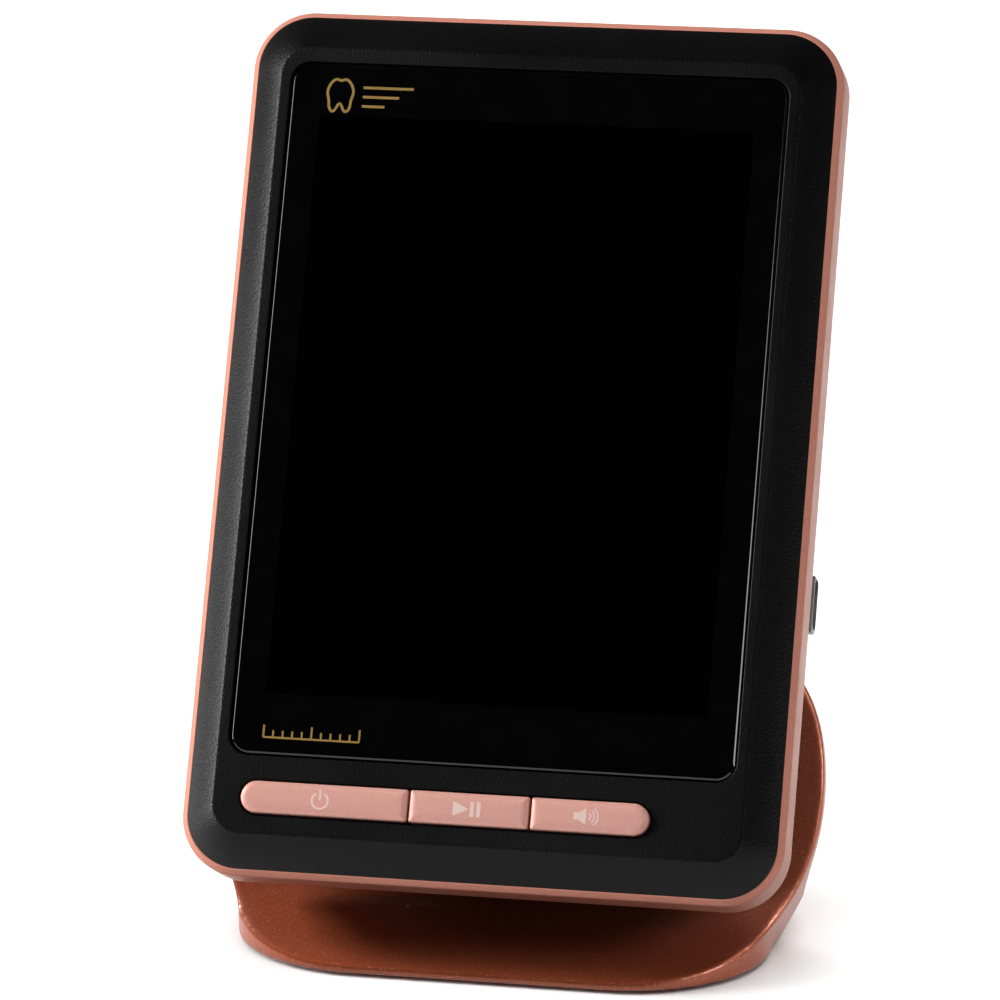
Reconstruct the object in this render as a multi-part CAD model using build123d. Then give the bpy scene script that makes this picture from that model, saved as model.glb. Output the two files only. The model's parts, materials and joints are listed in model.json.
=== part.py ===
from build123d import *
import math
import os

# A desk-top apex locator: a flat display unit that leans back on a one-piece
# metal-look stand. Millimetres, +Z up, the screen faces -Y. The origin is the
# centre of the object's footprint, on the surface that the rubber feet stand on.
#
# The display unit is drawn in its own face frame: x to the right, y up the face
# and z out of the face, with z = 0 at the joint between the rim and the rear cover.

# ---- driving dimensions -------------------------------------------------------
TILT = 25.5                  # lean of the face and of the stand's wall, degrees
FACE_ORIGIN = (0, 1.07, 74.2)  # centre of the face frame in the object's frame

RIM_W, RIM_H, RIM_R = 93.8, 137.2, 9.4     # outside of the rim
RIM_DEPTH = 8.0
RIM_CHAMFER = 0.9
RIM_HOLE_W, RIM_HOLE_H, RIM_HOLE_R = 89.0, 132.4, 7.0

BEZEL_W, BEZEL_H, BEZEL_R = 92.0, 135.4, 8.5   # where the bevel meets the rim
FRONT_Z = 13.0                                 # flat front of the bezel
FRONT_W, FRONT_H, FRONT_R, FRONT_Y = 82.0, 124.1, 4.5, -0.6
BEZEL_WALL = 1.8
SKIRT_W, SKIRT_H, SKIRT_WALL, SKIRT_LOW = 88.6, 132.0, 1.4, 2.2

WINDOW_W, WINDOW_H, WINDOW_R, WINDOW_Y = 78.8, 109.7, 3.2, 4.3
WINDOW_SEAT_Z = 11.2
LEDGE_WIDTH = 1.6
LEDGE_LOW = 9.8
LENS_GAP = 0.2
LENS_TOP = 12.75
TAPE = 0.2

LCD_W, LCD_H, LCD_Y = 73.4, 98.6, 3.6      # glass of a 4.5 inch 3:4 panel
LCD_LOW, LCD_HIGH = 7.9, 9.7
BACKLIGHT_LOW = 5.0
BRACKET_W, BRACKET_H = 76.4, 101.6
BRACKET_LOW = 3.8

BOARD_W, BOARD_H, BOARD_Y = 76.0, 98.0, 3.0
BOARD_LOW, BOARD_HIGH = 1.6, 3.2
BOARD_SCREWS = [(x, y) for x in (-35.0, 35.0) for y in (-42.0, 48.0)]
CHIPS = {                    # width, height, thickness, x, y of what hangs under the board
    "processor": (10, 10, 1.2, -14, 40),
    "display_driver": (7, 7, 1.0, 4, 42),
    "charger": (5, 4, 1.6, 20, 40),
    "battery_connector": (6, 6, 2.0, 28, 26),
    "memory": (9, 5, 1.6, -25, 20),
    "key_connector": (12, 4, 1.4, 0, -41),
    "speaker_connector": (7, 5, 2.0, -25, -6),
    "measuring_front_end": (6, 8, 1.2, 27, 2),
}

CABLE = 0.25                 # thickness of the two flat cables
LCD_CABLE_W, LCD_CABLE_FOLD, LCD_CABLE_LAP = 18.0, 1.6, 4.0
KEY_CABLE_W, KEY_CABLE_X, KEY_CABLE_LAP = 8.0, 18.0, 3.0

THREAD_R = 1.0               # shank of the larger screws
SMALL_HEAD_R, SMALL_HEAD = 1.5, 0.8        # heads of the inner screws
RECESS = 0.4                 # depth of a screw's cross recess

COVER_W, COVER_H, COVER_R = 92.2, 135.6, 8.6   # rear cover at the seam
COVER_BACK_Z = -9.5
COVER_DRAFT = 1.5
COVER_WALL = 2.2
COVER_EDGE = 2.0
CASE_SCREWS = [(-36, 58.5), (36, 58.5), (-31, -62.4), (31, -62.4)]
CASE_BOSS_R = 1.9
CASE_PILOT_R = 0.8
COVER_POSTS = [(x, y) for x in (-33.0, 33.0) for y in (-6.0, 16.0)]
COVER_POST_R = 1.8
SPEAKER_X, SPEAKER_Y, SPEAKER_R, SPEAKER_H = 24.0, -47.0, 7.0, 4.5
SOUND_HOLE_R, SOUND_HOLE_PITCH = 0.7, 3.0
SOUND_COLUMNS, SOUND_ROWS = 4, 3

KEY_Y = -57.0                # centre line of the key row
KEY_HALF = 2.5               # half the height of a key, and its end radius
KEY_EDGES = [-36.5, -10.3, 8.5, 26.8]   # ends of the row and its two splits
KEY_SPLIT = 0.35             # gap between two keys
KEY_SLOT_GAP = 0.3           # gap between the keys and their slot
KEY_TOP = 13.9
KEY_FLANGE_LOW, KEY_FLANGE_HIGH = 10.0, 11.1
KEY_FLANGE_EXTRA = 0.6
KEY_TRAVEL = 0.6
KEY_NAMES = ["power_button", "play_button", "volume_button"]
KEY_BOARD_LOW, KEY_BOARD_HIGH = 5.4, 6.6
SWITCH_TOP = 9.2             # top of a switch's plunger when it is pressed home
KEY_POSTS = [(-40.2, -56.0), (31.5, -56.0)]

DOOR_W, DOOR_H, DOOR_R, DOOR_Y = 42.0, 57.0, 4.0, 31.5
DOOR_DEPTH = 1.2
DOOR_GAP = 0.2
DOOR_SCREW_Y = DOOR_Y + DOOR_H / 2 - 3.6
BATTERY = (34.0, 48.0, 6.0)
BATTERY_Y = 29.0

PORT_Y, PORT_Z = -19.9, -3.3   # probe port, on the right side
PORT_TALL, PORT_DEEP = 8.8, 4.8
PORT_FACE_X = 47.1
MOUTH_TALL, MOUTH_DEEP = 7.0, 3.1
JACK_R = 1.8                   # charging jack, on the left side
JACK_LENGTH = 9.0
JACK_FACE_X = 45.3

HINGE_Y, HINGE_Z = -28.0, -13.5
PIN_R = 1.5
PIN_RUN_GAP = 0.05
KNUCKLE_R = 2.6
KNUCKLE_MID = 8.5            # half length of the stand's knuckle
WASHER = 0.4
KNUCKLE_END = 16.9
LEAF = 1.0
LEAF_W, LEAF_H = 46.0, 13.0
LEAF_SCREWS = [(x, HINGE_Y + dy) for x in (-20.0, 20.0) for dy in (-4.4, 4.4)]
PIN_HEAD_R, PIN_HEAD = 2.2, 0.6

WALL_FRONT_Z = -17.5         # front face of the stand's wall, in the face frame
WALL = 3.2
WALL_HALF, WALL_WIDEST_Y = 48.7, -47.5
WALL_TOP_Y, WALL_TOP_HALF = -20.5, 22.0
WALL_FOOT_Y, WALL_FOOT_HALF = -74.0, 40.0
FOOT_W, FOOT_R = 84.2, 22.0
FOOT_FRONT, FOOT_REAR = -34.8, 26.2
FOOT_LOW = 0.6               # underside of the stand, above the table
FOOT_FRONT_TOP = 1.9
FOOT_SLOPE = 0.22            # rise of the foot's top towards the wall
FOOT_REAR_TOP = 2.6
FOOT_REAR_SLOPE = 0.10
BEND_R = 14.0
BACK_R = 8.0
PROFILE_TOP = 62.0           # height of the side outline, above the wall's rounded top
PROFILE_HALF = 60.0          # half the width it is extruded to, wider than the wall
FOOT_REACH = 12.0            # height up to which the foot's outline trims the bends
WALL_REACH_FRONT, WALL_REACH_BACK = 8.0, 5.0   # how far the bends stand off the wall
PAD_R, PAD_TOP, PAD_CHAMFER = 4.0, 1.3, 0.3
PADS = [(x, y) for x in (-30.0, 30.0) for y in (-21.0, 13.0)]
BASE_W, BASE_H, BASE_R, BASE_Y = 60.0, 24.0, 6.0, -3.0
BASE_COVER_TOP, WEIGHT_TOP = 1.4, 3.0
BASE_SCREWS = [(x, BASE_Y + dy) for x in (-25.0, 25.0) for dy in (-7.0, 7.0)]

FACE = Location(FACE_ORIGIN, (90 - TILT, 0, 0))


# ---- helpers --------------------------------------------------------------------
def block(width, height, corner, low, high, x=0.0, y=0.0):
    """A rounded rectangular block standing on z = low in the face frame."""
    outline = Pos(x, y, low) * RectangleRounded(width, height, corner)
    return extrude(outline, high - low)


def frame_block(outer, inner, low, high, y=0.0):
    """A rounded rectangular ring; outer and inner are (width, height, corner)."""
    return block(*outer, low, high, y=y) - block(*inner, low, high, y=y)


def taper(low_size, low_z, high_size, high_z, high_y=0.0):
    """A block whose rounded outline changes between two heights."""
    low = Pos(0, 0, low_z) * RectangleRounded(*low_size)
    high = Pos(0, high_y, high_z) * RectangleRounded(*high_size)
    return loft([low, high])


def rod(radius, low, high, x=0.0, y=0.0):
    """A round rod along the face frame's z."""
    return extrude(Pos(x, y, low) * Circle(radius), high - low)


def cross_rod(radius, x_low, x_high, y, z):
    """A round rod along x."""
    outline = Pos(x_low, y, z) * Rot(0, 90, 0) * Circle(radius)
    return extrude(outline, x_high - x_low)


def group(solids):
    """Several separate solids, such as a set of screws, kept as one sub-part."""
    return Compound(children=list(solids))


# ---- display unit ----------------------------------------------------------------
def rim_frame():
    """The coloured rim: a ring with a bevelled front edge."""
    body = block(RIM_W, RIM_H, RIM_R, 0, RIM_DEPTH)
    body = chamfer(body.faces().sort_by(Axis.Z)[-1].edges(), RIM_CHAMFER)
    return body - block(RIM_HOLE_W, RIM_HOLE_H, RIM_HOLE_R, 0, RIM_DEPTH)


def bezel_outside():
    return taper((BEZEL_W, BEZEL_H, BEZEL_R), RIM_DEPTH, (FRONT_W, FRONT_H, FRONT_R), FRONT_Z, FRONT_Y)


def bezel_inside():
    """The hollow behind the bevel, one wall thickness inside it."""
    inset = 2 * BEZEL_WALL * math.sqrt(2)
    low = (BEZEL_W - inset, BEZEL_H - inset, BEZEL_R - inset / 2)
    high = (FRONT_W - BEZEL_WALL, FRONT_H - BEZEL_WALL, FRONT_R - BEZEL_WALL)
    return taper(low, RIM_DEPTH, high, FRONT_Z - BEZEL_WALL, FRONT_Y)


def key_slot(low, high, extra):
    """The capsule round the whole key row, grown by extra."""
    x = (KEY_EDGES[0] + KEY_EDGES[-1]) / 2
    half = KEY_HALF + extra
    width = KEY_EDGES[-1] - KEY_EDGES[0] + 2 * extra
    return extrude(Pos(x, KEY_Y, low) * SlotOverall(width, 2 * half), high - low)


def front_bezel():
    """Bevelled front shell with the window's seat, the key slot and its bosses."""
    outside = bezel_outside()
    body = outside - bezel_inside()
    skirt_in = (SKIRT_W - 2 * SKIRT_WALL, SKIRT_H - 2 * SKIRT_WALL, RIM_HOLE_R - SKIRT_WALL)
    body += frame_block((SKIRT_W, SKIRT_H, RIM_HOLE_R), skirt_in, SKIRT_LOW, RIM_DEPTH)
    body += block(WINDOW_W + 2.6, WINDOW_H + 2.6, WINDOW_R + 1.3, LEDGE_LOW, WINDOW_SEAT_Z, y=WINDOW_Y)
    for x, y in CASE_SCREWS:
        body += rod(CASE_BOSS_R, SKIRT_LOW, FRONT_Z - BEZEL_WALL if y < 0 else WINDOW_SEAT_Z, x, y)
    for x, y in KEY_POSTS:
        body += rod(CASE_BOSS_R, KEY_BOARD_HIGH, FRONT_Z, x, y) & outside
    body -= block(WINDOW_W, WINDOW_H, WINDOW_R, WINDOW_SEAT_Z, FRONT_Z, y=WINDOW_Y)
    sight = (WINDOW_W - 2 * LEDGE_WIDTH, WINDOW_H - 2 * LEDGE_WIDTH, WINDOW_R - LEDGE_WIDTH)
    body -= block(*sight, LEDGE_LOW, WINDOW_SEAT_Z, y=WINDOW_Y)
    body -= key_slot(FRONT_Z - BEZEL_WALL, FRONT_Z, KEY_SLOT_GAP)
    for x, y in CASE_SCREWS:
        body -= rod(CASE_PILOT_R, SKIRT_LOW, SKIRT_LOW + 6, x, y)
    for x, y in KEY_POSTS:
        body -= rod(CASE_PILOT_R, KEY_BOARD_HIGH, KEY_BOARD_HIGH + 2.4, x, y)
    return body


def window_lens():
    """The black glass over the display, a hair below the front face."""
    size = (WINDOW_W - 2 * LENS_GAP, WINDOW_H - 2 * LENS_GAP, WINDOW_R - LENS_GAP)
    lens = block(*size, WINDOW_SEAT_Z + TAPE, LENS_TOP, y=WINDOW_Y)
    return chamfer(lens.faces().sort_by(Axis.Z)[-1].edges(), LENS_GAP)


def lens_tape():
    """The adhesive ring that holds the glass on its ledge."""
    outer = (WINDOW_W - 2 * LENS_GAP, WINDOW_H - 2 * LENS_GAP, WINDOW_R - LENS_GAP)
    inner = (WINDOW_W - 2 * LEDGE_WIDTH, WINDOW_H - 2 * LEDGE_WIDTH, WINDOW_R - LEDGE_WIDTH)
    return frame_block(outer, inner, WINDOW_SEAT_Z, WINDOW_SEAT_Z + TAPE, y=WINDOW_Y)


def lcd_panel():
    return block(LCD_W, LCD_H, 0.5, LCD_LOW, LCD_HIGH, y=LCD_Y)


def lcd_backlight():
    return block(LCD_W - 1, LCD_H - 1, 0.5, BACKLIGHT_LOW, LCD_LOW, y=LCD_Y)


def lcd_bracket():
    """The tray behind the display, open in the middle and notched for the flat cable."""
    body = block(BRACKET_W, BRACKET_H, 2.0, BRACKET_LOW, LEDGE_LOW, y=LCD_Y)
    body -= block(LCD_W + 0.4, LCD_H + 0.4, 0.7, BACKLIGHT_LOW, LEDGE_LOW, y=LCD_Y)
    body -= block(52, 74, 4.0, BRACKET_LOW, BACKLIGHT_LOW, y=LCD_Y)
    notch_y = LCD_Y - BRACKET_H / 2
    body -= block(22, 9, 0.5, BRACKET_LOW, LEDGE_LOW, y=notch_y)
    for x, y in BOARD_SCREWS:
        body += rod(1.9, BOARD_HIGH, BRACKET_LOW, x, y)
        body -= rod(CASE_PILOT_R, BOARD_HIGH, BACKLIGHT_LOW - 0.2, x, y)
    return body


def flat_cable():
    """The display's flat cable, folded from the glass down to the board."""
    y_glass = LCD_Y - LCD_H / 2
    y_fold = y_glass - LCD_CABLE_FOLD
    top = (LCD_LOW + LCD_HIGH) / 2
    route = Polyline(
        (y_glass, top),
        (y_fold, top),
        (y_fold, BOARD_HIGH),
        (y_fold + LCD_CABLE_LAP, BOARD_HIGH),
        (y_fold + LCD_CABLE_LAP, BOARD_HIGH + CABLE),
        (y_fold + CABLE, BOARD_HIGH + CABLE),
        (y_fold + CABLE, top - CABLE),
        (y_glass, top - CABLE),
        close=True,
    )
    side = make_face(Plane.YZ * route)
    return Pos(-LCD_CABLE_W / 2, 0, 0) * extrude(side, LCD_CABLE_W, dir=(1, 0, 0))


def main_board():
    body = block(BOARD_W, BOARD_H, 1.5, BOARD_LOW, BOARD_HIGH, y=BOARD_Y)
    for x, y in BOARD_SCREWS:
        body -= rod(0.9, BOARD_LOW, BOARD_HIGH, x, y)
    return body


def board_chips():
    """Processor, charger, measuring front end and connectors under the board."""
    return group(block(w, h, 0.3, BOARD_LOW - t, BOARD_LOW, x, y) for w, h, t, x, y in CHIPS.values())


def board_screws():
    return group(
        rod(SMALL_HEAD_R, BOARD_LOW - SMALL_HEAD, BOARD_LOW, x, y)
        + rod(CASE_PILOT_R, BOARD_LOW, BACKLIGHT_LOW - 0.2, x, y)
        for x, y in BOARD_SCREWS
    )


def key_span(index):
    """The left and right ends of one key."""
    left = KEY_EDGES[index] + (KEY_SPLIT / 2 if index > 0 else 0)
    right = KEY_EDGES[index + 1] - (KEY_SPLIT / 2 if index < 2 else 0)
    return left, right


def key(index):
    """One key: a slice of the capsule with a flange behind the front and a stem."""
    left, right = key_span(index)
    middle = (left + right) / 2
    cap = key_slot(KEY_FLANGE_LOW, KEY_TOP, 0)
    cap = fillet(cap.faces().sort_by(Axis.Z)[-1].edges(), 0.5)
    cap += key_slot(KEY_FLANGE_LOW, KEY_FLANGE_HIGH, KEY_FLANGE_EXTRA)
    low_x = left if index > 0 else left - KEY_FLANGE_EXTRA
    high_x = right if index < 2 else right + KEY_FLANGE_EXTRA
    span = Box(high_x - low_x, 12, 12)
    cap &= Pos((low_x + high_x) / 2, KEY_Y, KEY_FLANGE_LOW + 6) * span
    stem_low = SWITCH_TOP + KEY_TRAVEL + 0.05
    return cap + rod(1.3, stem_low, KEY_FLANGE_LOW, middle, KEY_Y)


def key_board():
    """The narrow board behind the keys, screwed to two posts."""
    left, right = KEY_POSTS[0][0] - 2.2, KEY_POSTS[1][0] + 2.6
    body = block(right - left, 6.8, 1.0, KEY_BOARD_LOW, KEY_BOARD_HIGH, (left + right) / 2, KEY_POSTS[0][1])
    for x, y in KEY_POSTS:
        body -= rod(0.9, KEY_BOARD_LOW, KEY_BOARD_HIGH, x, y)
    return body


def key_board_screws():
    return group(
        rod(SMALL_HEAD_R, KEY_BOARD_LOW - SMALL_HEAD, KEY_BOARD_LOW, x, y)
        + rod(CASE_PILOT_R, KEY_BOARD_LOW, KEY_BOARD_HIGH + 2.2, x, y)
        for x, y in KEY_POSTS
    )


def tact_switches():
    """One push switch under the middle of each key."""
    switches = []
    for index in range(3):
        left, right = key_span(index)
        x = (left + right) / 2
        body = block(6.0, 3.6, 0.3, KEY_BOARD_HIGH, SWITCH_TOP - 0.6, x, KEY_Y)
        switches.append(body + rod(0.9, SWITCH_TOP - 0.6, SWITCH_TOP, x, KEY_Y))
    return group(switches)


def key_cable():
    """The short flat cable from the key board to the main board."""
    low_y = BOARD_Y - BOARD_H / 2
    high_y = KEY_POSTS[0][1] + 3.4
    route = Polyline(
        (high_y, KEY_BOARD_LOW),
        (high_y - KEY_CABLE_LAP, KEY_BOARD_LOW),
        (high_y - KEY_CABLE_LAP, KEY_BOARD_LOW - CABLE),
        (high_y, KEY_BOARD_LOW - CABLE),
        (low_y, BOARD_LOW - CABLE),
        (low_y + KEY_CABLE_LAP, BOARD_LOW - CABLE),
        (low_y + KEY_CABLE_LAP, BOARD_LOW),
        (low_y, BOARD_LOW),
        close=True,
    )
    side = make_face(Plane.YZ * route)
    return Pos(KEY_CABLE_X, 0, 0) * extrude(side, KEY_CABLE_W, dir=(1, 0, 0))


def cover_blank(inset):
    """The rear cover's outside, or its hollow when inset is the wall."""
    grow = -2 * inset
    low = (COVER_W + grow, COVER_H + grow, COVER_R - inset)
    draft = 2 * COVER_DRAFT
    high = (low[0] - draft, low[1] - draft, low[2] - COVER_DRAFT / 2)
    return taper(low, 0, high, COVER_BACK_Z + inset)


def port_block(tall, deep, x_low, x_high):
    """A rounded prism along x at the probe port."""
    outline = Pos(x_low, PORT_Y, PORT_Z) * Rot(0, 90, 0) * RectangleRounded(deep, tall, 1.2)
    return extrude(outline, x_high - x_low)


def rear_cover():
    """The drafted rear shell with its door opening, bosses, ports and sound holes."""
    body = cover_blank(0)
    body = fillet(body.faces().sort_by(Axis.Z)[0].edges(), COVER_EDGE)
    body -= cover_blank(COVER_WALL)
    lip = (SKIRT_W, SKIRT_H, RIM_HOLE_R)
    lip_in = (SKIRT_W - 2 * SKIRT_WALL, SKIRT_H - 2 * SKIRT_WALL, RIM_HOLE_R - SKIRT_WALL)
    body += frame_block(lip, lip_in, -1.2, SKIRT_LOW - 0.7)
    floor = COVER_BACK_Z + COVER_WALL
    for x, y in CASE_SCREWS:
        body += rod(CASE_BOSS_R + 0.4, COVER_BACK_Z + 0.5, SKIRT_LOW, x, y)
        body -= rod(1.0, COVER_BACK_Z, SKIRT_LOW, x, y)
        body -= rod(1.7, COVER_BACK_Z, COVER_BACK_Z + 1.6, x, y)
    for x, y in LEAF_SCREWS:
        body += rod(2.2, floor - 0.1, floor + 3.2, x, y)
        body -= rod(CASE_PILOT_R, COVER_BACK_Z, floor + 3.0, x, y)
    for x, y in COVER_POSTS:
        body += rod(COVER_POST_R, floor - 0.1, BOARD_LOW, x, y)
    body -= block(DOOR_W, DOOR_H, DOOR_R, COVER_BACK_Z, COVER_BACK_Z + DOOR_DEPTH, y=DOOR_Y)
    body -= block(DOOR_W - 3, DOOR_H - 3, DOOR_R - 1, COVER_BACK_Z, floor, y=DOOR_Y)
    body += rod(3.0, COVER_BACK_Z + DOOR_DEPTH, floor + 3.0, 0, DOOR_SCREW_Y)
    body += block(6, 4, 0.5, COVER_BACK_Z + DOOR_DEPTH, floor, y=DOOR_SCREW_Y + 2.5)
    body -= rod(THREAD_R, COVER_BACK_Z, floor + 2.6, 0, DOOR_SCREW_Y)
    body -= port_block(PORT_TALL, PORT_DEEP, PORT_FACE_X - 6, PORT_FACE_X)
    body -= cross_rod(3.0, -JACK_FACE_X - 1.0, -JACK_FACE_X + 3.5, PORT_Y, PORT_Z)
    for column in range(SOUND_COLUMNS):
        for row in range(SOUND_ROWS):
            hole_x = SPEAKER_X + SOUND_HOLE_PITCH * (column - (SOUND_COLUMNS - 1) / 2)
            hole_y = SPEAKER_Y + SOUND_HOLE_PITCH * (row - (SOUND_ROWS - 1) / 2)
            body -= rod(SOUND_HOLE_R, COVER_BACK_Z, floor, hole_x, hole_y)
    return body


def battery_door():
    """The flush door over the battery, with a finger groove and its screw's seat."""
    gap = 2 * DOOR_GAP
    inside = COVER_BACK_Z + DOOR_DEPTH
    plate = block(DOOR_W - gap, DOOR_H - gap, DOOR_R - DOOR_GAP, COVER_BACK_Z, inside, y=DOOR_Y)
    plate -= block(14, 2.4, 1.1, COVER_BACK_Z, COVER_BACK_Z + 0.6, y=DOOR_Y - DOOR_H / 2 + 4)
    plate -= rod(2.0, COVER_BACK_Z, COVER_BACK_Z + 0.7, 0, DOOR_SCREW_Y)
    return plate - rod(THREAD_R, COVER_BACK_Z, inside, 0, DOOR_SCREW_Y)


def screw(head_r, head_h, shank_r, low, high, x, y):
    """A screw along z with its head at the low end and a cross recess in it."""
    body = rod(head_r, low, low + head_h, x, y) + rod(shank_r, low + head_h, high, x, y)
    recess = Pos(x, y, low + RECESS / 2)
    long_side, short_side = head_r * 1.1, head_r * 0.28
    body -= recess * Box(long_side, short_side, RECESS)
    return body - recess * Box(short_side, long_side, RECESS)


def battery_door_screw():
    return screw(1.9, 0.6, THREAD_R, COVER_BACK_Z + 0.1, COVER_BACK_Z + 4.6, 0, DOOR_SCREW_Y)


def battery_pack():
    low = COVER_BACK_Z + COVER_WALL + 0.2
    return block(BATTERY[0], BATTERY[1], 2.5, low, low + BATTERY[2], y=BATTERY_Y)


def buzzer():
    floor = COVER_BACK_Z + COVER_WALL
    return rod(SPEAKER_R, floor, floor + SPEAKER_H, SPEAKER_X, SPEAKER_Y)


def case_screws():
    low = COVER_BACK_Z + 0.3
    return group(screw(1.6, 1.3, CASE_PILOT_R, low, SKIRT_LOW + 5.6, x, y) for x, y in CASE_SCREWS)


def port_surround():
    """The raised frame round the probe port, standing a little proud of the rim."""
    body = port_block(PORT_TALL, PORT_DEEP, PORT_FACE_X - 4.5, PORT_FACE_X)
    body = fillet(body.faces().sort_by(Axis.X)[-1].edges(), 0.4)
    return body - port_block(MOUTH_TALL + 0.6, MOUTH_DEEP + 0.6, PORT_FACE_X - 4.5, PORT_FACE_X)


def probe_socket():
    """The metal shell of the probe port, with its tongue."""
    low_x, high_x = PORT_FACE_X - 10, PORT_FACE_X - 0.5
    shell = port_block(MOUTH_TALL + 0.6, MOUTH_DEEP + 0.6, low_x, high_x)
    shell -= port_block(MOUTH_TALL, MOUTH_DEEP, low_x + 1.5, high_x)
    tongue = Pos((low_x + high_x) / 2, PORT_Y, PORT_Z) * Box(high_x - low_x - 2.0, 5.0, 0.8)
    return shell + tongue


def charge_socket():
    """The round charging jack, its nose level with the cover's left side."""
    nose = cross_rod(2.9, -JACK_FACE_X, -JACK_FACE_X + 4.0, PORT_Y, PORT_Z)
    back_x = -JACK_FACE_X + 3.2 + 4.5
    body = nose + Pos(back_x, PORT_Y, PORT_Z) * Box(9.0, 8.0, 6.4)
    return body - cross_rod(JACK_R, -JACK_FACE_X, -JACK_FACE_X + JACK_LENGTH, PORT_Y, PORT_Z)


# ---- hinge ------------------------------------------------------------------------
def knuckle(x_low, x_high, leaf_z, bore):
    """One hinge knuckle with the web that joins it to its leaf."""
    body = cross_rod(KNUCKLE_R, x_low, x_high, HINGE_Y, HINGE_Z)
    depth = abs(leaf_z - HINGE_Z)
    web = Box(x_high - x_low, 3.0, depth)
    body += Pos((x_low + x_high) / 2, HINGE_Y, (leaf_z + HINGE_Z) / 2) * web
    return body - cross_rod(bore, x_low, x_high, HINGE_Y, HINGE_Z)


def hinge_leaf_head():
    """The steel leaf on the rear cover, with the two outer knuckles."""
    face = COVER_BACK_Z - LEAF
    body = block(LEAF_W, LEAF_H, 2.0, face, COVER_BACK_Z, y=HINGE_Y)
    inner = KNUCKLE_MID + WASHER
    for x_low, x_high in ((-KNUCKLE_END, -inner), (inner, KNUCKLE_END)):
        body += knuckle(x_low, x_high, face, PIN_R)
    for x, y in LEAF_SCREWS:
        body -= rod(CASE_PILOT_R, face, COVER_BACK_Z, x, y)
    return body


def hinge_head_screws():
    face = COVER_BACK_Z - LEAF
    return group(screw(1.6, 0.6, CASE_PILOT_R, face - 0.6, face + 6, x, y) for x, y in LEAF_SCREWS)


def hinge_leaf_stand():
    """The steel leaf on the stand's wall, with the middle knuckle."""
    face = WALL_FRONT_Z + LEAF
    body = block(LEAF_W, LEAF_H, 2.0, WALL_FRONT_Z, face, y=HINGE_Y)
    body += knuckle(-KNUCKLE_MID, KNUCKLE_MID, face, PIN_R + PIN_RUN_GAP)
    for x, y in LEAF_SCREWS:
        body -= rod(1.0, WALL_FRONT_Z, face, x, y)
    return body


def hinge_stand_screws():
    low = WALL_FRONT_Z - WALL + 0.2
    return group(screw(1.9, 1.1, 1.0, low, WALL_FRONT_Z + LEAF, x, y) for x, y in LEAF_SCREWS)


def hinge_washers():
    """The two friction washers beside the middle knuckle."""
    rings = []
    for x_low in (-KNUCKLE_MID - WASHER + 0.05, KNUCKLE_MID):
        ring = cross_rod(KNUCKLE_R - 0.1, x_low, x_low + WASHER - 0.05, HINGE_Y, HINGE_Z)
        rings.append(ring - cross_rod(PIN_R + PIN_RUN_GAP, x_low, x_low + WASHER, HINGE_Y, HINGE_Z))
    return group(rings)


def hinge_pin():
    """The hinge pin with a flat head on each end."""
    body = cross_rod(PIN_R, -KNUCKLE_END, KNUCKLE_END, HINGE_Y, HINGE_Z)
    for x_low in (-KNUCKLE_END - PIN_HEAD, KNUCKLE_END):
        body += cross_rod(PIN_HEAD_R, x_low, x_low + PIN_HEAD, HINGE_Y, HINGE_Z)
    return body


# ---- stand ------------------------------------------------------------------------
def wall_line(face_z, z):
    """The y of the stand wall's face at height z; face_z is its depth in the face frame."""
    lean = math.radians(TILT)
    start_y = FACE_ORIGIN[1] - face_z * math.cos(lean)
    start_z = FACE_ORIGIN[2] + face_z * math.sin(lean)
    return start_y + (z - start_z) * math.tan(lean)


def crossing(face_z, edge_y, edge_z, slope):
    """Where a wall face meets a foot surface that starts at an edge and rises by slope."""
    lean = math.tan(math.radians(TILT))
    base = wall_line(face_z, 0)
    z = (edge_z + slope * (base - edge_y)) / (1 - slope * lean)
    return wall_line(face_z, z), z


def stand_profile():
    """The stand's side outline, from the foot's front round to its rear."""
    inner = crossing(WALL_FRONT_Z, FOOT_FRONT, FOOT_FRONT_TOP, FOOT_SLOPE)
    outer = crossing(WALL_FRONT_Z - WALL, FOOT_REAR, FOOT_REAR_TOP, -FOOT_REAR_SLOPE)
    outline = Polyline(
        (FOOT_FRONT, FOOT_LOW),
        (FOOT_FRONT, FOOT_FRONT_TOP),
        inner,
        (wall_line(WALL_FRONT_Z, PROFILE_TOP), PROFILE_TOP),
        (wall_line(WALL_FRONT_Z - WALL, PROFILE_TOP), PROFILE_TOP),
        outer,
        (FOOT_REAR, FOOT_REAR_TOP),
        (FOOT_REAR, FOOT_LOW),
        close=True,
    )
    side = make_face(outline)
    corners = side.vertices()
    side = fillet(corners.sort_by_distance((*inner, 0))[0], BEND_R)
    side = fillet(side.vertices().sort_by_distance((*outer, 0))[0], BACK_R)
    return side


def wall_outline():
    """The wall seen square on: wide and round-shouldered, narrower at the foot."""
    foot = (WALL_FOOT_HALF, WALL_FOOT_Y)
    widest = (WALL_HALF, WALL_WIDEST_Y)
    top = (WALL_TOP_HALF, WALL_TOP_Y)
    flank = Spline(foot, widest, tangents=((0.45, 1), (0, 1)))
    shoulder = Spline(widest, top, tangents=((0, 1), (-1, 0)))
    right = flank + shoulder
    left = mirror(right, Plane.YZ)
    ends = Line((-WALL_TOP_HALF, WALL_TOP_Y), top) + Line((-WALL_FOOT_HALF, WALL_FOOT_Y), foot)
    return make_face(right + left + ends)


def foot_outline():
    middle = (FOOT_FRONT + FOOT_REAR) / 2
    return Pos(0, middle, 0) * RectangleRounded(FOOT_W, FOOT_REAR - FOOT_FRONT, FOOT_R)


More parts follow.
